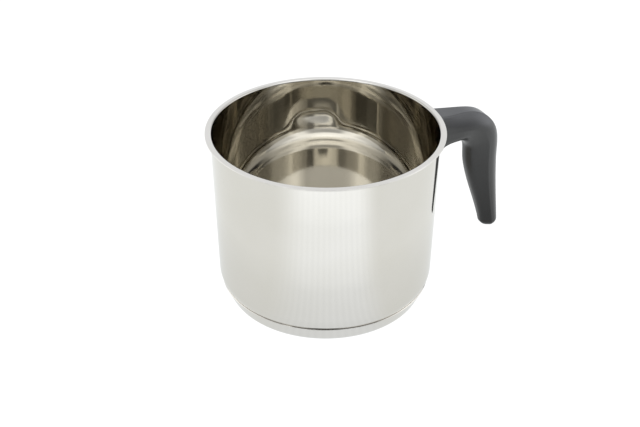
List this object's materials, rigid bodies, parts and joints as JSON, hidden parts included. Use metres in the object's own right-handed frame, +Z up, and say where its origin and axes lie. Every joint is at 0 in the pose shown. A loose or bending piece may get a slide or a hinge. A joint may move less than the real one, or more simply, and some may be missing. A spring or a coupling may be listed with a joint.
{
  "type": "milk pan",
  "caption": "Tall straight-sided steel milk pan with a flared pouring rim, a sandwich base and a black moulded handle that turns down beside the wall.",
  "frame": {"origin": "centre of the flat underside of the base, on the surface that the pan stands on", "axes": "+Z up along the pan's axis to its mouth, +X from the axis out along the handle's arm"},
  "size_m": [0.2049, 0.148, 0.1157],
  "materials": {
    "polished_steel": "mirror polished stainless steel with faint drawing lines",
    "base_steel": "polished edge, circular brushed underside",
    "core_aluminium": "plain, hidden between the steel sheets",
    "bracket_steel": "plain pressed steel",
    "fastener_steel": "bright zinc plated steel",
    "black_moulding": "satin black phenolic moulding"
  },
  "bodies": {
    "root": {"pan_body": "polished_steel", "base_core": "core_aluminium", "base_cap": "base_steel", "handle_bracket": "bracket_steel", "weld_nut": "bracket_steel", "handle_grip": "black_moulding", "spring_washer": "fastener_steel", "handle_screw": "fastener_steel"}
  },
  "joints": []
}
